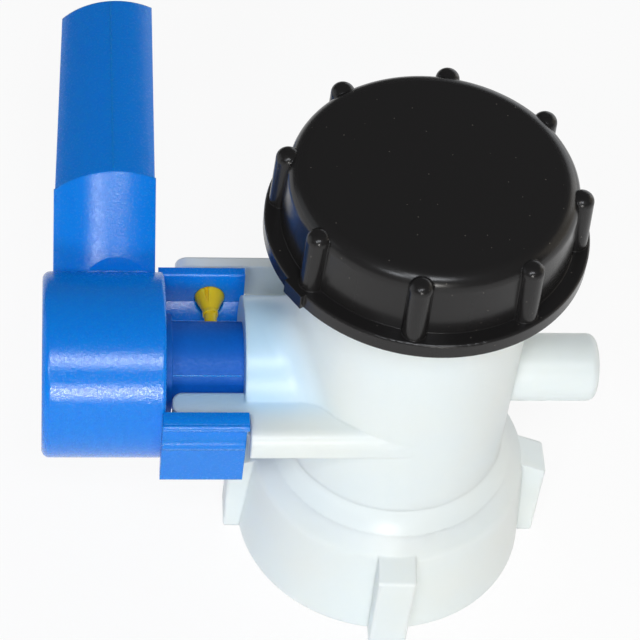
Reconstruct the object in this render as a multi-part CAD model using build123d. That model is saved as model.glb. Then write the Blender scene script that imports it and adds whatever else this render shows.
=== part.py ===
from build123d import *
import os

os.makedirs("parts", exist_ok=True)

# heights above the inlet face of the union nut, millimetres
stem_z = 61.0
outlet_top_z = 124.1
inlet_face_z = 23.0

# flow tube of the body
bore_r = 24.5
tube_wall = 3.5
tube_r = bore_r + tube_wall

# stem neck and blind trunnion boss of the body
neck_r = 17.3
neck_end_x = -40.3
neck_step_x = -26.0
neck_blend = 8.0
boss_r = 8.5
boss_end_x = 48.5
boss_edge = 2.2
boss_bore_end_x = 43.0

# front shelf, its tongue beside the stem, and the guard plate at the back
shelf_front_y = -28.1
shelf_low = -2.5
shelf_top = 5.6
shelf_start_x = -39.2
shelf_top_edge = 3.6
shelf_low_edge = 2.0
tongue_start_x = -57.8
tongue_out_y = -19.8
tongue_in_y = -13.4
tongue_corner = 2.6
guard_in_y = 27.6
guard_thick = 2.9
guard_low = -4.6
guard_top = 5.9
guard_start_x = -55.8
guard_end_x = 4.0
guard_corner = 3.0
guard_floor = 3.4
guard_floor_start_x = -37.6

# drive stem
stem_r = 10.8
stem_shoulder_x = -57.7
stem_flange_r = 12.6
stem_flange_start_x = -59.3
stem_fit = 0.05
shaft_side = 9.0
shaft_fit = 0.05
shaft_end_x = 21.4
trunnion_r = 4.3
trunnion_end_x = 42.4
plug_side = 12.0
plug_end_x = -80.0
step_gap = 0.1

# seal rings on the stem and on the trunnion
ring_r = 1.25
ring_room = 0.35
ring_outer_x = -35.5
ring_inner_x = -30.0
small_ring_r = 0.8
small_ring_x = 33.0

# disc and the moulded seal round it
disc_r = 22.2
disc_thick = 5.0
disc_hub_r = 9.2
disc_hub_inset = 1.2
disc_hub_half = disc_r - disc_hub_inset
seal_clearance = 0.1
seal_thick = 3.2
disc_edge = 1.0

# handle hub
hub_r = 22.8
hub_left_x = -89.1
hub_right_x = -59.6
hub_wall = 3.0
hub_floor = 3.2
hub_edge = 2.0
hub_rim_edge = 0.8
socket_r = 10.4
socket_end_x = -61.2

# handle arms beside the neck
arm_start_x = -60.4
arm_end_x = -40.2
arm_in = 21.0
arm_out = 25.4
arm_draft = 0.8
arm_top = 7.9
arm_back_top = 8.9
arm_back_end_x = -38.7
arm_front_low = -14.2
arm_back_low = -8.5
arm_edge = 0.7
bead_out = 26.1
bead_low = 6.0
bead_end_x = -39.7
bead_edge = 0.85

# lever: arched over a ridge that lies to the right of its middle
ridge_x = -72.1
ridge_left_drop = 6.6
ridge_right_drop = 2.1
ramp_left_x = -86.5
ramp_right_x = -61.5
grip_left_x = -86.2
grip_right_x = -61.8
tip_left_x = -84.5
tip_right_x = -61.2
lever_depth = 12.2
lever_shell = 2.8
crest_y = 35.0
crest_z = 31.9
ramp_run = 24.0
ramp_foot_y = 20.4
ramp_foot_z = 17.5
ramp_foot_slope = 60.0
grip_end_y = 97.0
grip_hollow_start = 8.0
grip_hollow_run = 50.0

# lock pin through the back arm, its nose just clear of the stem
pin_x = -47.3
pin_z = 1.2
pin_hole_r = 3.8
pin_fit = 0.1
pin_body_r = pin_hole_r - pin_fit
pin_neck_r = 1.6
pin_tip_y = stem_r + pin_fit
pin_ring = 0.35
pin_ring_y = 15.2
pin_cone_end_y = 16.2
pin_tail = 1.4
pin_slot = 0.9
pin_slot_depth = 1.5
guard_hole_r = 4.0

# union nut
nut_low_r = 37.35
nut_high_r = 35.2
nut_edge_z = 27.4
nut_shoulder = 3.6
nut_top_z = 34.0
nut_top_r = 29.4
nut_rim = 0.8
nut_bore_r = 31.0
nut_relief = 0.4
swivel_gap = 0.3
lug_r = 41.3
lug_width = 9.6
lug_knee_z = 25.2
lug_root_r = 33.4
lug_root_z = 28.5
lug_edge = 0.8
lug_count = 4
lug_turn = -1.0

# split ring that holds the nut on the body
clip_lip = 2.4
clip_r = tube_r + clip_lip
clip_depth = 1.5
clip_seat_r = tube_r - clip_depth
clip_low_z = 27.0
clip_thick = 2.5
clip_split = 5.0
lip_gap = 0.05

# flat gaskets
gasket_thick = 2.6
gasket_r = 29.6
cap_gasket_thick = 2.0
cap_gasket_r = 29.9
cap_gasket_in_r = 23.6

# screw cap, built up from the outlet rim and the wall round its thread
cap_bore_r = 30.35
cap_wall = 4.05
cap_low_r = cap_bore_r + cap_wall
cap_draft = 0.8
cap_high_r = cap_low_r - cap_draft
cap_flange_width = 3.8
cap_flange_r = cap_low_r + cap_flange_width
cap_ceiling = 4.3
cap_top_z = outlet_top_z + cap_gasket_thick + cap_ceiling
cap_height = 20.7
cap_flange_low_z = cap_top_z - cap_height
cap_flange_thick = 4.0
cap_top_edge = 4.2
cap_flange_edge = 0.6
rib_count = 8
rib_r = 2.9
rib_reach = 3.0
rib_lean = 2.5
rib_drop = 0.5
rib_edge = 2.3
rib_turn = -10.6
tab_width = 6.2
tab_reach = 0.9
tab_turn = -147.0

over = 1.0


def x_cylinder(radius, start, end):
    """Round bar along the stem axis."""
    plane = Plane(origin=(start, 0, stem_z), x_dir=(0, 1, 0), z_dir=(1, 0, 0))
    return extrude(plane * Circle(radius), end - start)


def x_square(side, start, end):
    """Square bar along the stem axis."""
    plane = Plane(origin=(start, 0, stem_z), x_dir=(0, 1, 0), z_dir=(1, 0, 0))
    return extrude(plane * Rectangle(side, side), end - start)


def z_cylinder(radius, low, high):
    """Round bar along the flow axis."""
    return extrude(Plane.XY.offset(low) * Circle(radius), high - low)


def block(x_low, x_high, y_low, y_high, z_low, z_high):
    """Rectangular bar between limits, heights counted from the stem axis."""
    centre = ((x_low + x_high) / 2, (y_low + y_high) / 2, stem_z + (z_low + z_high) / 2)
    return Pos(*centre) * Box(x_high - x_low, y_high - y_low, z_high - z_low)


def y_cylinder(radius, y_low, y_high):
    """Round bar along the lock pin."""
    plane = Plane(origin=(pin_x, y_low, stem_z + pin_z), x_dir=(1, 0, 0), z_dir=(0, 1, 0))
    return extrude(plane * Circle(radius), y_high - y_low)


def spun(points):
    """Closed outline of radius and height turned round the flow axis."""
    outline = Plane.XZ * make_face(Polyline(*points, close=True))
    return revolve(outline, Axis.Z)


def valve_body():
    """Flow tube with stem neck, blind boss, front shelf and guard plate."""
    tube = z_cylinder(tube_r, inlet_face_z, outlet_top_z)
    body = tube + x_cylinder(neck_r, neck_end_x, 0)
    seam = [e for e in body.edges() if e.center().X < -tube_r / 2 and e.geom_type != GeomType.CIRCLE]
    seam = [e for e in seam if e.geom_type != GeomType.LINE and e.length > neck_r]
    body = fillet(seam, neck_blend)
    boss = x_cylinder(boss_r, 0, boss_end_x)
    boss = fillet(boss.edges().sort_by(Axis.X)[-1], boss_edge)
    body = body + boss
    shelf = block(shelf_start_x, 0, shelf_front_y, 0, shelf_low, shelf_top)
    front = shelf.edges().filter_by(Axis.X).group_by(Axis.Y)[0].sort_by(Axis.Z)
    shelf = fillet(front[-1], shelf_top_edge)
    front = shelf.edges().filter_by(Axis.X).group_by(Axis.Z)[0].sort_by(Axis.Y)
    body = body + fillet(front[0], shelf_low_edge)
    tongue = block(tongue_start_x, shelf_start_x + over, tongue_out_y, tongue_in_y, shelf_low, shelf_top)
    corners = tongue.edges().filter_by(Axis.Z).group_by(Axis.X)[0]
    body = body + fillet(corners, tongue_corner)
    guard = block(guard_start_x, guard_end_x, guard_in_y, guard_in_y + guard_thick, guard_low, guard_top)
    corners = guard.edges().filter_by(Axis.Y).group_by(Axis.X)[0]
    body = body + fillet(corners, guard_corner)
    body = body + block(
        guard_floor_start_x, 0, 0, guard_in_y + guard_thick, guard_low - guard_floor, guard_low
    )
    body = body - z_cylinder(bore_r, 0, cap_top_z)
    body = body - x_cylinder(stem_r + stem_fit, neck_end_x - over, neck_step_x)
    body = body - x_cylinder(shaft_side / 2**0.5 + swivel_gap, neck_step_x - over, 0)
    body = body - x_cylinder(trunnion_r + stem_fit, 0, boss_bore_end_x)
    body = body - y_cylinder(guard_hole_r, guard_in_y - over, guard_in_y + guard_thick + over)
    groove = z_cylinder(tube_r + over, clip_low_z, clip_low_z + clip_thick)
    return body - (groove - z_cylinder(clip_seat_r, clip_low_z, clip_low_z + clip_thick))


def union_nut():
    """Inlet nut with sloping shoulder and four spanner lugs."""
    lip_r = tube_r + swivel_gap
    lip_z = clip_low_z + clip_thick + lip_gap
    shell = spun([
        (nut_bore_r, 0),
        (nut_low_r - nut_rim, 0),
        (nut_low_r, nut_rim),
        (nut_high_r, nut_edge_z),
        (nut_top_r, nut_top_z),
        (lip_r, nut_top_z),
        (lip_r, lip_z),
        (nut_bore_r + nut_relief, lip_z),
        (nut_bore_r + nut_relief, inlet_face_z - gasket_thick),
        (nut_bore_r, inlet_face_z - gasket_thick),
    ])
    brow = [e for e in shell.edges() if abs(e.center().Z - nut_edge_z) < over / 2]
    shell = fillet(brow, nut_shoulder)
    side = Plane.XZ * make_face(Polyline(
        (nut_bore_r + tube_wall, 0),
        (lug_r, 0),
        (lug_r, lug_knee_z),
        (lug_root_r, lug_root_z),
        (nut_bore_r + over, lug_root_z),
        close=True,
    ))
    lug = extrude(side, lug_width / 2, both=True)
    outer = lug.faces().filter_by(Axis.X).sort_by(Axis.X)[-1]
    lug = fillet(outer.edges(), lug_edge)
    for place in range(lug_count):
        shell = shell + Rot(0, 0, lug_turn + place * 360 / lug_count) * lug
    return shell


def retaining_clip():
    """Split ring in the body groove under the nut's lip."""
    ring = z_cylinder(clip_r, clip_low_z, clip_low_z + clip_thick)
    ring = ring - z_cylinder(clip_seat_r, clip_low_z, clip_low_z + clip_thick)
    split = Pos(0, tube_r, clip_low_z) * Box(clip_split, tube_r, clip_r)
    return ring - split


def inlet_gasket():
    """Flat ring on the inlet face of the body."""
    ring = z_cylinder(gasket_r, inlet_face_z - gasket_thick, inlet_face_z)
    return ring - z_cylinder(bore_r, inlet_face_z - gasket_thick, inlet_face_z)


def drive_stem():
    """Stem with square plug, seal grooves, square shaft and end trunnion."""
    stem = x_square(plug_side, plug_end_x, stem_shoulder_x)
    stem = stem + x_cylinder(stem_flange_r, stem_flange_start_x, stem_shoulder_x)
    stem = stem + x_cylinder(stem_r, stem_shoulder_x, neck_step_x - step_gap)
    stem = stem + x_square(shaft_side, neck_step_x - step_gap, shaft_end_x)
    stem = stem + x_cylinder(trunnion_r, shaft_end_x, trunnion_end_x)
    for place in (ring_outer_x, ring_inner_x):
        stem = stem - ring_groove(stem_r, ring_r, place)
    return stem - ring_groove(trunnion_r, small_ring_r, small_ring_x)


def ring_groove(radius, section, place):
    """Square groove round a bar for a seal ring."""
    half = section + ring_room
    floor = radius + stem_fit - 2 * section
    ring = x_cylinder(radius + over, place - half, place + half)
    return ring - x_cylinder(floor, place - half, place + half)


def seal_ring(radius, section, place):
    """Round-section ring filling a groove out to the wall of its bore."""
    plane = Plane(origin=(place, 0, stem_z), x_dir=(0, 1, 0), z_dir=(1, 0, 0))
    return plane * Torus(radius + stem_fit - section, section)


def shaft_hole():
    """Square hole for the shaft through the disc."""
    return x_square(shaft_side + 2 * shaft_fit, -tube_r, tube_r)


def butterfly_disc():
    """Round closing plate with a thick hub along the stem."""
    plate = z_cylinder(disc_r, stem_z - disc_thick / 2, stem_z + disc_thick / 2)
    plate = fillet(plate.edges(), disc_edge)
    rim = z_cylinder(bore_r, stem_z - seal_thick / 2, stem_z + seal_thick / 2)
    rim = rim - z_cylinder(disc_r - disc_edge, stem_z - seal_thick / 2, stem_z + seal_thick / 2)
    ends = x_cylinder(disc_hub_r, -bore_r, bore_r)
    hub = x_cylinder(disc_hub_r, -disc_hub_half, disc_hub_half)
    return plate - rim - ends + hub - shaft_hole()


def disc_seal():
    """Rim ring of the disc with pads round the shaft at both sides."""
    ring = z_cylinder(bore_r, stem_z - seal_thick / 2, stem_z + seal_thick / 2)
    ring = ring - z_cylinder(disc_r - disc_edge, stem_z - seal_thick / 2, stem_z + seal_thick / 2)
    hub = x_cylinder(disc_hub_r, -disc_hub_half, disc_hub_half)
    pads = x_cylinder(disc_hub_r, -bore_r, bore_r) - hub
    ball = Pos(0, 0, stem_z) * Sphere(bore_r - seal_clearance)
    return ((ring + pads) & ball) - hub - shaft_hole()


def arm(outline, end_x):
    """Arm of the handle run along the stem from an outline of depth and height."""
    plane = Plane(origin=(arm_start_x, 0, stem_z), x_dir=(0, 1, 0), z_dir=(1, 0, 0))
    bar = extrude(plane * make_face(Polyline(*outline, close=True)), end_x - arm_start_x)
    return fillet(bar.edges().filter_by(Axis.X).group_by(Axis.Z)[-1], arm_edge)


def crowned(left_x, right_x):
    """Upright section of the lever: an arch over its ridge, with straight sides and a flat foot."""
    left = (left_x, -ridge_left_drop)
    right = (right_x, -ridge_right_drop)
    sides = Polyline(right, (right_x, -lever_depth), (left_x, -lever_depth), left)
    return make_face(sides + ThreePointArc(left, (ridge_x, 0), right))


def lever():
    """Ramp rising aslant from the hub and crowned grip, hollow underneath."""
    crest = Plane(origin=(0, crest_y, stem_z + crest_z), x_dir=(1, 0, 0), z_dir=(0, -1, 0))
    ramp = extrude(crest * crowned(ramp_left_x, ramp_right_x), ramp_run * 2**0.5, dir=(0, -1, -1))
    foot = Plane(origin=(0, ramp_foot_y, stem_z + ramp_foot_z), x_dir=(1, 0, 0), z_dir=(0, -1, 0))
    ramp = split(ramp, bisect_by=foot.rotated((ramp_foot_slope - 90, 0, 0)), keep=Keep.BOTTOM)
    tip = crest.offset(crest_y - grip_end_y)
    grip = loft([crest * crowned(grip_left_x, grip_right_x), tip * crowned(tip_left_x, tip_right_x)])
    room = crest.offset(-grip_hollow_start) * Pos(0, -lever_shell)
    inner = crowned(grip_left_x + 2 * lever_shell, grip_right_x - lever_shell)
    return ramp, grip - extrude(room * inner, -grip_hollow_run)


def handle():
    """Hub cup with lever and two arms."""
    hub = x_cylinder(hub_r, hub_left_x, hub_right_x)
    hub = fillet(hub.edges().sort_by(Axis.X)[0], hub_edge)
    hub = fillet(hub.edges().sort_by(Axis.X)[-1], hub_rim_edge)
    ramp, grip = lever()
    solid = hub + ramp + grip
    cup = x_cylinder(hub_r - hub_wall, hub_left_x + hub_floor, hub_right_x + over)
    solid = solid - cup
    solid = solid + x_cylinder(socket_r, hub_left_x + over, socket_end_x)
    solid = solid - x_square(plug_side + 2 * shaft_fit, plug_end_x - over, socket_end_x + over)
    front = arm([
        (-arm_in - arm_draft, arm_top),
        (-arm_out + arm_draft, arm_top),
        (-arm_out, 0),
        (-arm_out + arm_draft, arm_front_low),
        (-arm_in - arm_draft, arm_front_low),
        (-arm_in, 0),
    ], arm_end_x)
    bead = block(arm_start_x, bead_end_x, -bead_out, -arm_in - arm_draft, bead_low, arm_top)
    front = front + fillet(bead.edges().filter_by(Axis.X).group_by(Axis.Y)[0], bead_edge)
    back = arm([
        (arm_in + arm_draft, arm_back_top),
        (arm_out - arm_draft, arm_back_top),
        (arm_out, 0),
        (arm_out - arm_draft, arm_back_low),
        (arm_in + arm_draft, arm_back_low),
        (arm_in, 0),
    ], arm_back_end_x)
    return solid + front + (back - y_cylinder(pin_hole_r, 0, arm_out + over))


def lock_pin():
    """Plug with a round nose behind a small ring, and a slotted cone."""
    tail_y = arm_out + pin_tail
    nose_y = pin_tip_y + pin_neck_r
    points = [
        (0, nose_y),
        (pin_neck_r, nose_y),
        (pin_neck_r, pin_ring_y),
        (pin_neck_r + pin_ring, pin_ring_y),
        (pin_neck_r + pin_ring, pin_cone_end_y),
        (pin_neck_r, pin_cone_end_y),
        (pin_body_r, arm_in),
        (pin_body_r, tail_y),
        (0, tail_y),
    ]
    outline = Plane.XY.offset(stem_z + pin_z) * Pos(pin_x, 0) * make_face(Polyline(*points, close=True))
    pin = revolve(outline, Axis((pin_x, 0, stem_z + pin_z), (0, 1, 0)))
    pin = pin + Pos(pin_x, nose_y, stem_z + pin_z) * Sphere(pin_neck_r)
    slot_z = pin_z + pin_body_r - pin_slot_depth
    slot_low_x = pin_x - pin_slot * 3 / 2
    slot = block(slot_low_x, slot_low_x + pin_slot, pin_tip_y, arm_in + over, slot_z, arm_top)
    return pin - slot


def cap():
    """Screw cap with flange, eight half-round ribs and a small tab on the flange."""
    flange_top_z = cap_flange_low_z + cap_flange_thick
    bowl = spun([
        (0, cap_flange_low_z),
        (cap_flange_r, cap_flange_low_z),
        (cap_flange_r, flange_top_z),
        (cap_low_r, flange_top_z),
        (cap_high_r, cap_top_z),
        (0, cap_top_z),
    ])
    bowl = fillet(bowl.edges().group_by(Axis.Z)[-1], cap_top_edge)
    rim = bowl.faces().filter_by(Axis.Z).sort_by(Axis.Z)[1].edges().sort_by(SortBy.LENGTH)[-1]
    bowl = fillet(rim, cap_flange_edge)
    rib_height = cap_top_z - rib_drop - flange_top_z
    rib = z_cylinder(rib_r, -over, rib_height)
    rib = fillet(rib.edges().group_by(Axis.Z)[-1], rib_edge)
    rib = Pos(cap_low_r + rib_reach - rib_r, 0, flange_top_z) * Rot(0, -rib_lean, 0) * rib
    for place in range(rib_count):
        bowl = bowl + Rot(0, 0, rib_turn + place * 360 / rib_count) * rib
    tab = Pos(cap_flange_r, 0, cap_flange_low_z + cap_flange_thick / 2) * Box(
        2 * tab_reach, tab_width, cap_flange_thick
    )
    bowl = bowl + Rot(0, 0, tab_turn) * tab
    ceiling_z = outlet_top_z + cap_gasket_thick
    return bowl - z_cylinder(cap_bore_r, cap_flange_low_z - over, ceiling_z)


def cap_gasket():
    """Flat ring between the outlet rim and the ceiling of the cap."""
    ring = z_cylinder(cap_gasket_r, outlet_top_z, outlet_top_z + cap_gasket_thick)
    return ring - z_cylinder(cap_gasket_in_r, outlet_top_z, outlet_top_z + cap_gasket_thick)


export_step(valve_body(), "parts/valve_body.step")
export_step(union_nut(), "parts/union_nut.step")
export_step(retaining_clip(), "parts/retaining_clip.step")
export_step(inlet_gasket(), "parts/inlet_gasket.step")
export_step(drive_stem(), "parts/drive_stem.step")
export_step(seal_ring(stem_r, ring_r, ring_outer_x), "parts/stem_ring_outer.step")
export_step(seal_ring(stem_r, ring_r, ring_inner_x), "parts/stem_ring_inner.step")
export_step(seal_ring(trunnion_r, small_ring_r, small_ring_x), "parts/trunnion_ring.step")
export_step(butterfly_disc(), "parts/butterfly_disc.step")
export_step(disc_seal(), "parts/disc_seal.step")
export_step(handle(), "parts/handle.step")
export_step(lock_pin(), "parts/lock_pin.step")
export_step(cap(), "parts/cap.step")
export_step(cap_gasket(), "parts/cap_gasket.step")
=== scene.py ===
import bpy
import numpy as np
from mathutils import Matrix, Vector


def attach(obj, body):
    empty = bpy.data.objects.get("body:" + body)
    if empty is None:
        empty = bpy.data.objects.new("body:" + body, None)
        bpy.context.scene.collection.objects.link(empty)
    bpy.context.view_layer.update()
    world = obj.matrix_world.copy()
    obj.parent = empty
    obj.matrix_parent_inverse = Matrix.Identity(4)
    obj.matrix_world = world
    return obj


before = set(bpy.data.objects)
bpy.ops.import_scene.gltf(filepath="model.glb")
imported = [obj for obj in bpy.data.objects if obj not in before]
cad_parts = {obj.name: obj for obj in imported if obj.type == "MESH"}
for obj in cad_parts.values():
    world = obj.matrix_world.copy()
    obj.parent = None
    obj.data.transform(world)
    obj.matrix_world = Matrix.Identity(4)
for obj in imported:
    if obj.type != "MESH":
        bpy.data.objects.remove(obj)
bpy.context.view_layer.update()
print("frame loaded:", len(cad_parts), "nodes")

mm = 0.001
stemHeight = 61  # axis of the stem over the floor, in millimetres
creaseAngle = 35  # degrees; flatter joints are shaded smooth
edgeSamples = 6  # rays a Bevel node casts to soften an edge


def toLinear(hexColour):
    # sRGB hex to linear, channel by channel
    s = np.array([int(hexColour[i:i + 2], 16) for i in (1, 3, 5)]) / 255
    lin = np.where(s <= 0.04045, s / 12.92, ((s + 0.055) / 1.055) ** 2.4)
    return (*lin.tolist(), 1.0)


def addNode(tree, kind, values=None, **settings):
    # one node with its settings; a value that is a socket becomes a link
    node = tree.nodes.new(kind)
    for name, value in settings.items():
        setattr(node, name, value)
    for name, value in (values or {}).items():
        if isinstance(value, bpy.types.NodeSocket):
            tree.links.new(value, node.inputs[name])
        else:
            node.inputs[name].default_value = value
    return node


def newMaterial(name):
    mat = bpy.data.materials.new(name)
    mat.use_nodes = True
    mat.node_tree.nodes.clear()
    return mat, mat.node_tree


# the stem blue in the neck's look is painted light, a tint standing in for the stem's light seen through the wall
polyethyleneLook = {"name": "natural polyethylene, moulded", "cool": "#E2EEF3", "warm": "#EBECE4", "cloud": 34,
                    "peel": 0.9, "bump": 0.05, "bumpDepth": 0.1, "round": 0.9, "rough": 0.34, "ior": 1.54,
                    "soak": 0.45, "bleed": (1.0, 0.97, 0.9), "depth": 3, "paintedStemLight": "#BCE0FA",
                    "stemStart": -8, "stemFull": -40, "stemReach": (25, 15)}
thinLipLook = dict(polyethyleneLook, name="natural polyethylene, thin lip", soak=0.0, round=0.0)


def mouldedPolyethylene(look):
    # natural high-density polyethylene, injection moulded: milky, light soaks in and softens every edge
    mat, tree = newMaterial(look["name"])
    where = addNode(tree, "ShaderNodeTexCoord").outputs["Object"]
    cloud = addNode(tree, "ShaderNodeTexNoise", {"Vector": where, "Scale": 1000 / look["cloud"], "Detail": 2.0})
    tint = addNode(tree, "ShaderNodeMix", {"Factor": cloud.outputs["Fac"], "A": toLinear(look["cool"]),
                                           "B": toLinear(look["warm"])}, data_type="RGBA")
    # painted light: a blue tint in the neck's colour stands in for light from the blue stem passing faintly through
    # the milky wall, more toward the open end of the neck
    place = addNode(tree, "ShaderNodeSeparateXYZ", {"Vector": where})
    along = addNode(tree, "ShaderNodeMapRange", {
        "Value": place.outputs["X"], "From Min": look["stemStart"] * mm, "From Max": look["stemFull"] * mm},
        interpolation_type="SMOOTHSTEP")
    offset = addNode(tree, "ShaderNodeMapping", {"Vector": where, "Location": (0, 0, -stemHeight * mm),
                                                 "Scale": (0, 1, 1)})
    away = addNode(tree, "ShaderNodeVectorMath", {0: offset.outputs["Vector"]}, operation="LENGTH")
    close = addNode(tree, "ShaderNodeMapRange", {
        "Value": away.outputs["Value"], "From Min": look["stemReach"][0] * mm,
        "From Max": look["stemReach"][1] * mm}, interpolation_type="SMOOTHSTEP")
    paintedStemShare = addNode(tree, "ShaderNodeMath", {0: along.outputs["Result"], 1: close.outputs["Result"]},
                    operation="MULTIPLY")
    # mixes in the painted blue light of the stem
    tint = addNode(tree, "ShaderNodeMix", {"Factor": paintedStemShare.outputs["Value"], "A": tint.outputs["Result"],
                                           "B": toLinear(look["paintedStemLight"])}, data_type="RGBA")
    peel = addNode(tree, "ShaderNodeTexNoise", {"Vector": where, "Scale": 1000 / look["peel"], "Detail": 1.0})
    soft = addNode(tree, "ShaderNodeBevel", {"Radius": look["round"] * mm}, samples=edgeSamples)
    bump = addNode(tree, "ShaderNodeBump", {"Height": peel.outputs["Fac"], "Normal": soft.outputs["Normal"],
                                            "Strength": look["bump"], "Distance": look["bumpDepth"] * mm})
    shader = addNode(tree, "ShaderNodeBsdfPrincipled", {
        "Base Color": tint.outputs["Result"], "Roughness": look["rough"], "IOR": look["ior"],
        "Normal": bump.outputs["Normal"], "Subsurface Weight": look["soak"],
        "Subsurface Radius": look["bleed"], "Subsurface Scale": look["depth"] * mm})
    addNode(tree, "ShaderNodeOutputMaterial", {"Surface": shader.outputs["BSDF"]})
    return mat


grainedBlueLook = {"name": "blue polypropylene, spark-eroded mould", "lit": "#048BF0", "deep": "#0376DC",
                   "grain": 0.62, "bump": 0.36, "bumpDepth": 0.12, "polish": (0.62, 0.4), "rough": (0.11, 0.3),
                   "ior": 1.49, "gloss": 0.42, "round": 0.6, "soak": 0.3, "bleed": (0.2, 0.5, 1.0), "depth": 2.5}
fineEdgeLook = dict(grainedBlueLook, name="blue polypropylene, fine edge", round=0.0)
# the stem's blue: a darker, duller copy of the handle's blue
plainBlueLook = dict(grainedBlueLook, name="blue polypropylene, darker and duller stem", lit="#046ACE", deep="#035CBC",
                     grain=0.8, bump=0.1, rough=(0.42, 0.56), gloss=0.25, round=0.3, soak=0.1)


def bluePropylene(look):
    # blue polypropylene; the spark-eroded mould leaves a fine grain that breaks the gloss into sparkle
    # the real grain is near 0.1 mm, drawn coarser here so that it shows
    mat, tree = newMaterial(look["name"])
    where = addNode(tree, "ShaderNodeTexCoord").outputs["Object"]
    grain = addNode(tree, "ShaderNodeTexNoise", {"Vector": where, "Scale": 1000 / look["grain"], "Detail": 3.0,
                                                 "Roughness": 0.6})
    tint = addNode(tree, "ShaderNodeMix", {"Factor": grain.outputs["Fac"], "A": toLinear(look["deep"]),
                                           "B": toLinear(look["lit"])}, data_type="RGBA")
    # the peaks of the grain are polished by handling, the hollows stay dull
    rough = addNode(tree, "ShaderNodeMapRange", {
        "Value": grain.outputs["Fac"], "From Min": look["polish"][0], "From Max": look["polish"][1],
        "To Min": look["rough"][0], "To Max": look["rough"][1]})
    soft = addNode(tree, "ShaderNodeBevel", {"Radius": look["round"] * mm}, samples=edgeSamples)
    bump = addNode(tree, "ShaderNodeBump", {"Height": grain.outputs["Fac"], "Normal": soft.outputs["Normal"],
                                            "Strength": look["bump"], "Distance": look["bumpDepth"] * mm})
    shader = addNode(tree, "ShaderNodeBsdfPrincipled", {
        "Base Color": tint.outputs["Result"], "Roughness": rough.outputs["Result"], "IOR": look["ior"],
        "Specular IOR Level": look["gloss"], "Normal": bump.outputs["Normal"],
        "Subsurface Weight": look["soak"], "Subsurface Radius": look["bleed"],
        "Subsurface Scale": look["depth"] * mm})
    addNode(tree, "ShaderNodeOutputMaterial", {"Surface": shader.outputs["BSDF"]})
    return mat


yellowLook = {"colour": "#F4D21E", "round": 0.25, "rough": 0.33, "ior": 1.54, "soak": 0.4, "bleed": (1.0, 0.8, 0.2),
              "depth": 2}


def yellowPlastic(look):
    # yellow polyethylene, moulded in a polished tool: plain and fairly glossy
    mat, tree = newMaterial("yellow polyethylene, moulded")
    soft = addNode(tree, "ShaderNodeBevel", {"Radius": look["round"] * mm}, samples=edgeSamples)
    shader = addNode(tree, "ShaderNodeBsdfPrincipled", {
        "Base Color": toLinear(look["colour"]), "Roughness": look["rough"], "IOR": look["ior"],
        "Normal": soft.outputs["Normal"], "Subsurface Weight": look["soak"],
        "Subsurface Radius": look["bleed"], "Subsurface Scale": look["depth"] * mm})
    addNode(tree, "ShaderNodeOutputMaterial", {"Surface": shader.outputs["BSDF"]})
    return mat


blackLook = {"colour": "#1F1E1E", "dust": "#5C5853", "cell": 2.8, "speck": 0.3, "round": 0.4, "peel": 0.7,
             "bump": 0.08, "bumpDepth": 0.1, "rough": 0.24, "ior": 1.49, "gloss": 0.3}


def blackPropylene(look):
    # black polypropylene, satin moulding, with the odd grain of dust lying on it
    mat, tree = newMaterial("black polypropylene, satin moulded")
    where = addNode(tree, "ShaderNodeTexCoord").outputs["Object"]
    specks = addNode(tree, "ShaderNodeTexVoronoi", {"Vector": where, "Scale": 1000 / look["cell"],
                                                    "Randomness": 1.0})
    # distance is counted in cells, so half a speck's millimetres over a cell's is the reach of a speck
    near = addNode(tree, "ShaderNodeMath", {0: specks.outputs["Distance"], 1: look["speck"] / look["cell"] * 0.5},
                   operation="LESS_THAN")
    tint = addNode(tree, "ShaderNodeMix", {"Factor": near.outputs["Value"], "A": toLinear(look["colour"]),
                                           "B": toLinear(look["dust"])}, data_type="RGBA")
    soft = addNode(tree, "ShaderNodeBevel", {"Radius": look["round"] * mm}, samples=edgeSamples)
    peel = addNode(tree, "ShaderNodeTexNoise", {"Vector": where, "Scale": 1000 / look["peel"], "Detail": 2.0})
    bump = addNode(tree, "ShaderNodeBump", {"Height": peel.outputs["Fac"], "Normal": soft.outputs["Normal"],
                                            "Strength": look["bump"], "Distance": look["bumpDepth"] * mm})
    shader = addNode(tree, "ShaderNodeBsdfPrincipled", {
        "Base Color": tint.outputs["Result"], "Roughness": look["rough"], "IOR": look["ior"],
        "Specular IOR Level": look["gloss"], "Normal": bump.outputs["Normal"]})
    addNode(tree, "ShaderNodeOutputMaterial", {"Surface": shader.outputs["BSDF"]})
    return mat


rubberLook = {"colour": "#1B1B1C", "rough": 0.62, "ior": 1.52}


def sealRubber(look):
    # black nitrile rubber, pressed: dull and even
    mat, tree = newMaterial("nitrile rubber, pressed")
    shader = addNode(tree, "ShaderNodeBsdfPrincipled", {"Base Color": toLinear(look["colour"]),
                                                        "Roughness": look["rough"], "IOR": look["ior"]})
    addNode(tree, "ShaderNodeOutputMaterial", {"Surface": shader.outputs["BSDF"]})
    return mat


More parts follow.
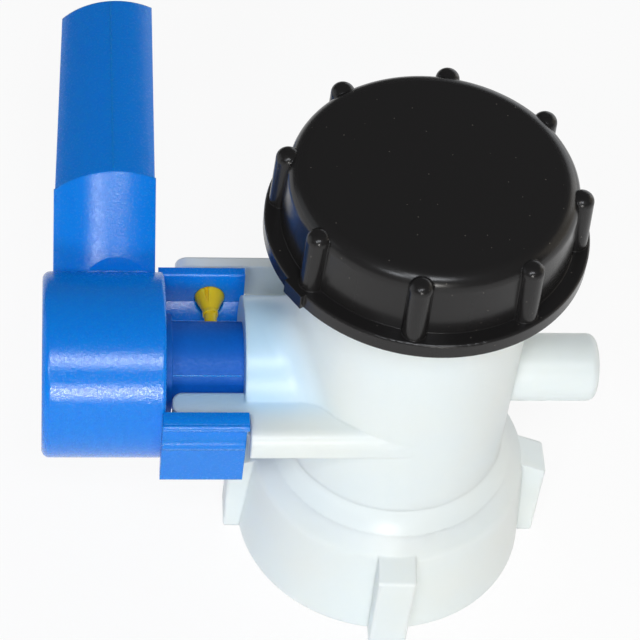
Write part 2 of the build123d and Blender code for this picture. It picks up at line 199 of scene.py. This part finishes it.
finishes = {
    "natural_plastic": mouldedPolyethylene(polyethyleneLook),
    "thin_lip": mouldedPolyethylene(thinLipLook),
    "blue_plastic": bluePropylene(grainedBlueLook),
    "plain_blue": bluePropylene(plainBlueLook),
    "fine_edge": bluePropylene(fineEdgeLook),
    "yellow_plastic": yellowPlastic(yellowLook),
    "black_plastic": blackPropylene(blackLook),
    "seal_rubber": sealRubber(rubberLook),
}
nodeFinish = {
    "valve_body": "natural_plastic", "union_nut": "natural_plastic", "retaining_clip": "natural_plastic",
    "butterfly_disc": "natural_plastic", "drive_stem": "plain_blue", "handle": "blue_plastic",
    "lock_pin": "yellow_plastic", "cap": "black_plastic", "inlet_gasket": "seal_rubber",
    "cap_gasket": "seal_rubber", "disc_seal": "seal_rubber", "stem_ring_outer": "seal_rubber",
    "stem_ring_inner": "seal_rubber", "trunnion_ring": "seal_rubber",
}
for name, finish in nodeFinish.items():
    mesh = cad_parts[name].data
    mesh.materials.clear()
    mesh.materials.append(finishes[finish])
print("materials set")


def gridFaces(rows, cols, closeRows=False):
    # quads between neighbours of a grid whose columns run round a closed section; rows close too where asked
    index = np.arange(rows * cols).reshape(rows, cols)
    index = np.vstack([index, index[:1]]) if closeRows else index
    beside = np.roll(index, -1, axis=1)
    quads = np.stack([index[:-1], beside[:-1], beside[1:], index[1:]], axis=-1)
    return quads.reshape(-1, 4).tolist()


def newPiece(name, points, faces, mat):
    # mesh object at the origin with its place in its vertices, points in millimetres
    mesh = bpy.data.meshes.new(name)
    mesh.from_pydata((points.reshape(-1, 3) * mm).tolist(), [], faces)
    mesh.materials.append(mat)
    mesh.shade_smooth()
    mesh.set_sharp_from_angle(angle=np.radians(creaseAngle))
    piece = bpy.data.objects.new(name, mesh)
    bpy.context.scene.collection.objects.link(piece)
    return piece


def closedBar(name, points, finish):
    # skin over the sections of a bar, with its first and last section as end caps
    rows, cols = points.shape[:2]
    caps = [list(range(cols))[::-1], list(range((rows - 1) * cols, rows * cols))]
    return newPiece(name, points, gridFaces(rows, cols) + caps, finishes[finish])


def alongStem(x, y, z):
    # section y, z carried along x, with z counted from the axis of the stem
    x = np.asarray(x)[:, None]
    return np.stack([x + 0 * z, y + 0 * x, stemHeight + z + 0 * x], axis=-1)


def roundedCurve(size, places, steps):
    # square-law blend of three places: shares (1 - t) squared, 2 t (1 - t) and t squared
    start, bend, end = (np.array(size[place]) for place in places)
    t = np.linspace(0, 1, steps)[:, None]
    return (1 - t) ** 2 * start + 2 * t * (1 - t) * bend + t ** 2 * end


# coarse screw threads, each one pitch a turn and right-handed
outletThread = {"root": 27.8, "crest": 29.8, "low": 111.4, "turns": 1.8, "pitch": 6.0, "base": 3.2, "top": 1.4}
capThread = {"root": 30.6, "crest": 28.7, "low": 114.4, "turns": 1.3, "pitch": 6.0, "base": 3.0, "top": 1.2}
nutThread = {"root": 31.2, "crest": 29.5, "low": 2.6, "turns": 2.6, "pitch": 6.0, "base": 3.2, "top": 1.4}
threadEnd = {"runOut": 0.7, "least": 0.05, "narrow": 0.4}  # angle it fades over, least depth, least width
turnSteps = 96


def threadRidge(name, size, finish, body):
    # trapezium carried along a helix: radius between root and crest, one pitch higher a turn, faded at both ends
    turn = np.linspace(0, 2 * np.pi * size["turns"], int(turnSteps * size["turns"]))[:, None]
    fade = np.clip(np.minimum(turn, turn[-1] - turn) / threadEnd["runOut"], threadEnd["least"], 1)
    height = np.array([size["base"], size["top"], -size["top"], -size["base"]]) / 2
    height = -height if size["crest"] < size["root"] else height  # keeps the faces outward on an inside thread
    depth = np.array([0.0, 1.0, 1.0, 0.0])
    radius = size["root"] + (size["crest"] - size["root"]) * depth * fade
    width = threadEnd["narrow"] + (1 - threadEnd["narrow"]) * fade
    z = size["low"] + size["pitch"] * turn / (2 * np.pi) + height * width
    points = np.stack([radius * np.cos(turn), radius * np.sin(turn), z], axis=-1)
    piece = closedBar(name, points, finish)
    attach(piece, body)


threadRidge("outletThreadRidge", outletThread, "natural_plastic", "housing")
threadRidge("capThreadRidge", capThread, "black_plastic", "screw_cap")
threadRidge("nutThreadRidge", nutThread, "natural_plastic", "nut")
print("threads built")

# soft collar of the nut over the running gap, a hollow curve from the tube out to the sloping shoulder
nutCollar = {"top": (28.02, 38.2), "bend": (28.2, 35.36), "foot": (31.78, 31.24),
             "under": ((31.2, 30.9), (28.02, 33.6)), "curveSteps": 16, "steps": 160}
around = np.linspace(0, 2 * np.pi, nutCollar["steps"], endpoint=False)[:, None]
# the curve closes underneath, and the section is turned once about the tube
curve = roundedCurve(nutCollar, ("top", "bend", "foot"), nutCollar["curveSteps"])
radius, z = np.vstack([curve, nutCollar["under"]]).T
points = np.stack([radius * np.cos(around), radius * np.sin(around), z + 0 * around], axis=-1)
faces = gridFaces(nutCollar["steps"], len(radius), True)
collar = newPiece("nutCollar", points, faces, finishes["thin_lip"])
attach(collar, "nut")

# witness line of the mould along the ridge of the grip, a low half-round bead
gripSeam = {"ridge": -72.1, "height": 92.95, "start": 36.0, "tip": 96.9, "half": 0.2, "rise": 0.04, "sink": 0.3,
            "steps": 9}
spread = np.linspace(-1, 1, gripSeam["steps"])
# height over the ridge is rise times one less the square of the share of the half width
x = gripSeam["ridge"] + gripSeam["half"] * np.append(spread, [1, -1])
z = gripSeam["height"] + np.append(gripSeam["rise"] * (1 - spread ** 2), [-gripSeam["sink"]] * 2)
path = np.array([gripSeam["start"], gripSeam["tip"]])[:, None]
points = np.stack([x + 0 * path, path + 0 * x, z + 0 * path], axis=-1)
seam = closedBar("gripWitnessLine", points, "fine_edge")
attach(seam, "spindle")

# low rounded rib across the face of the front arm, where the two drafts of the mould meet
armRib = {"left": -60.2, "right": -40.45, "face": 25.4, "draft": 0.101, "rise": 0.85, "bell": 1.5, "under": 0.15,
          "half": 3.6, "sink": 0.4, "steps": 21}
z = np.linspace(armRib["half"], -armRib["half"], armRib["steps"])
# out of the face by rise times a bell of the height, on a face that falls back by the draft on both sides
bell = np.exp(-(z / armRib["bell"]) ** 2)
out = armRib["face"] - armRib["draft"] * np.abs(z) - armRib["under"] + armRib["rise"] * bell
out = np.append(out, [armRib["face"] - armRib["sink"]] * 2)
z = np.append(z, [-armRib["half"], armRib["half"]])
rib = closedBar("frontArmRib", alongStem((armRib["left"], armRib["right"]), -out, z), "fine_edge")
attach(rib, "spindle")

# crowned bead along the top of the front arm, rolling over to the front
armCrown = {"left": -60.2, "right": -39.75, "back": (21.85, 8.6), "bend": (25.1, 8.6), "front": (26.14, 6.9),
            "under": ((25.4, 6.8), (21.85, 7.2)), "steps": 12}
# the roll runs from back over bend to front and closes inside the arm
curve = roundedCurve(armCrown, ("back", "bend", "front"), armCrown["steps"])
out, z = np.vstack([curve, armCrown["under"]]).T
crown = closedBar("frontArmCrown", alongStem((armCrown["left"], armCrown["right"]), -out, z), "fine_edge")
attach(crown, "spindle")

# sloping ledge along the foot of the back arm, under the lock pin
armLedge = {"left": -60.2, "right": -38.9, "top": (21.2, -0.1), "lip": (17.7, -3.5), "bow": 0.15,
            "under": ((17.7, -4.2), (22.2, -8.3), (22.2, -0.1)), "steps": 12, "spans": 108,
            "pinPlace": (-47.3, 1.2), "pinRoom": 3.95}
t = np.linspace(0, 1, armLedge["steps"])
# a straight run from top to lip, bowed out a little and closed underneath
y = armLedge["top"][0] + (armLedge["lip"][0] - armLedge["top"][0]) * t - armLedge["bow"] * np.sin(np.pi * t)
z = armLedge["top"][1] + (armLedge["lip"][1] - armLedge["top"][1]) * t
y = np.append(y, [corner[0] for corner in armLedge["under"]])
z = np.append(z, [corner[1] for corner in armLedge["under"]])
# nothing stands above a round groove in which the pin slides
x = np.linspace(armLedge["left"], armLedge["right"], armLedge["spans"])
room = armLedge["pinRoom"] ** 2 - (x - armLedge["pinPlace"][0]) ** 2
groove = np.where(room > 0, armLedge["pinPlace"][1] - np.sqrt(np.maximum(room, 0)), stemHeight)
ledge = closedBar("backArmLedge", alongStem(x, y, np.minimum(z, groove[:, None])), "blue_plastic")
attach(ledge, "spindle")

# parting line along the stem between hub and neck, a low half-round bead up its front
stemSeam = {"left": -57.6, "right": -40.9, "radius": 10.8, "lift": 36, "half": 0.2, "rise": 0.08, "tuck": 0.01,
            "sink": 0.3, "steps": 9}
spread = np.linspace(1, -1, stemSeam["steps"])
# reach from the axis is the radius and rise times one less the square of the share of the half width
bead = np.append(stemSeam["rise"] * (1 - spread ** 2) - stemSeam["tuck"], [-stemSeam["sink"]] * 2)
reach = stemSeam["radius"] + bead
angle = np.radians(stemSeam["lift"]) + stemSeam["half"] / stemSeam["radius"] * np.append(spread, [-1, 1])
ends = (stemSeam["left"], stemSeam["right"])
seam = closedBar("stemPartingLine", alongStem(ends, -reach * np.cos(angle), reach * np.sin(angle)), "fine_edge")
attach(seam, "spindle")
print("collar, rib, bead, ledge and witness lines built")

# camera at the place found from the photograph
view = {"place": (-88.267, -394.327, 533.926), "right": (0.994005, -0.065988, 0.087173),
        "down": (0.007104, -0.756652, -0.653779), "ahead": (0.109101, 0.650479, -0.751647),
        "lens": 140.625, "sensor": 36, "far": 20}
lens = bpy.data.cameras.new("photoView")
lens.sensor_width = view["sensor"]
lens.sensor_fit = "HORIZONTAL"
lens.lens = view["lens"]
lens.clip_end = view["far"]
camera = bpy.data.objects.new("photoView", lens)
turned = Matrix((view["right"], -Vector(view["down"]), -Vector(view["ahead"]))).transposed()
camera.matrix_world = Matrix.Translation(Vector(view["place"]) * mm) @ turned.to_4x4()
bpy.context.scene.collection.objects.link(camera)
bpy.context.scene.camera = camera

# plain pale floor just under the foot of the nut, white to the eye and to reflections but for a soft shadow
stageLook = {"floor": "#FAFAFA", "shadow": 0.1, "size": 8000, "drop": 0.2, "skyFront": 0.14, "skyBack": 0.13,
             "skyTurn": (-0.9, 0.5), "horizon": 0.94}
half = stageLook["size"] / 2
corners = np.array([[-half, -half, 0], [half, -half, 0], [half, half, 0], [-half, half, 0]])
floorMat, tree = newMaterial("pale floor")
ray = addNode(tree, "ShaderNodeLightPath")
seen = addNode(tree, "ShaderNodeMath", {0: ray.outputs["Is Camera Ray"], 1: ray.outputs["Is Glossy Ray"]},
               operation="MAXIMUM")
seen = addNode(tree, "ShaderNodeMath", {0: seen.outputs["Value"], 1: ray.outputs["Is Transmission Ray"]},
               operation="MAXIMUM")
share = addNode(tree, "ShaderNodeMath", {0: seen.outputs["Value"], 1: 1 - stageLook["shadow"]},
                operation="MULTIPLY")
paint = addNode(tree, "ShaderNodeBsdfDiffuse", {"Color": toLinear(stageLook["floor"])})
glow = addNode(tree, "ShaderNodeEmission", {"Color": (1, 1, 1, 1), "Strength": 1.0})
both = addNode(tree, "ShaderNodeMixShader", {0: share.outputs["Value"], 1: paint.outputs["BSDF"],
                                             2: glow.outputs["Emission"]})
addNode(tree, "ShaderNodeOutputMaterial", {"Surface": both.outputs["Shader"]})
floor = newPiece("floor", corners - [0, 0, stageLook["drop"]], [[0, 1, 2, 3]], floorMat)

# dim surround, a shade brighter before the object than behind it, and pale where the camera looks past the floor
world = bpy.data.worlds.new("studio")
bpy.context.scene.world = world
world.use_nodes = True
tree = world.node_tree
tree.nodes.clear()
ray = addNode(tree, "ShaderNodeLightPath")
seen = addNode(tree, "ShaderNodeMath", {0: ray.outputs["Is Camera Ray"], 1: ray.outputs["Is Transmission Ray"]},
               operation="MAXIMUM")
toward = addNode(tree, "ShaderNodeTexCoord").outputs["Generated"]
parts = addNode(tree, "ShaderNodeSeparateXYZ", {"Vector": toward})
ramp = addNode(tree, "ShaderNodeMapRange", {
    "Value": parts.outputs["Y"], "From Min": stageLook["skyTurn"][0], "From Max": stageLook["skyTurn"][1],
    "To Min": stageLook["skyFront"], "To Max": stageLook["skyBack"]}, interpolation_type="SMOOTHSTEP")
level = addNode(tree, "ShaderNodeMix", {"Factor": seen.outputs["Value"], "A": ramp.outputs["Result"],
                                        "B": stageLook["horizon"]}, data_type="FLOAT")
sky = addNode(tree, "ShaderNodeBackground", {"Color": (1, 1, 1, 1), "Strength": level.outputs["Result"]})
addNode(tree, "ShaderNodeOutputWorld", {"Surface": sky.outputs["Background"]})

# soft boxes, places in millimetres, sizes in metres, all turned to the middle of the valve
lamps = {
    "lowFrontBox": {"place": (-45, -1135, 385), "wide": 0.14, "tall": 0.24, "power": 4.3, "colour": "#FFFDF8"},
    "highFrontBox": {"place": (-45, -725, 1076), "wide": 0.44, "tall": 0.24, "power": 5.7, "colour": "#F7FAFF"},
    "sideFrontBox": {"place": (-430, -824, 850), "wide": 0.2, "tall": 0.26, "power": 2.5, "colour": "#F4F9FF"},
    "rightBox": {"place": (1150, 350, 420), "wide": 1.2, "tall": 1.0, "power": 2.6, "colour": "#FFF2DC"},
    "backBox": {"place": (800, 1000, 330), "wide": 1.2, "tall": 0.8, "power": 4.6, "colour": "#F8FBFF"},
    "leftBox": {"place": (-1150, 150, 300), "wide": 1.0, "tall": 0.8, "power": 2.0, "colour": "#F4F9FF"},
}
target = Vector((-10, 10, 65)) * mm
for name, lamp in lamps.items():
    light = bpy.data.lights.new(name, "AREA")
    light.shape = "RECTANGLE"
    light.size = lamp["wide"]
    light.size_y = lamp["tall"]
    light.energy = lamp["power"]
    light.color = toLinear(lamp["colour"])[:3]
    holder = bpy.data.objects.new(name, light)
    place = Vector(lamp["place"]) * mm
    facing = (target - place).to_track_quat("-Z", "Y").to_matrix().to_4x4()
    holder.matrix_world = Matrix.Translation(place) @ facing
    bpy.context.scene.collection.objects.link(holder)
bpy.context.scene.view_settings.view_transform = "Standard"
print("camera, lamps and floor set")
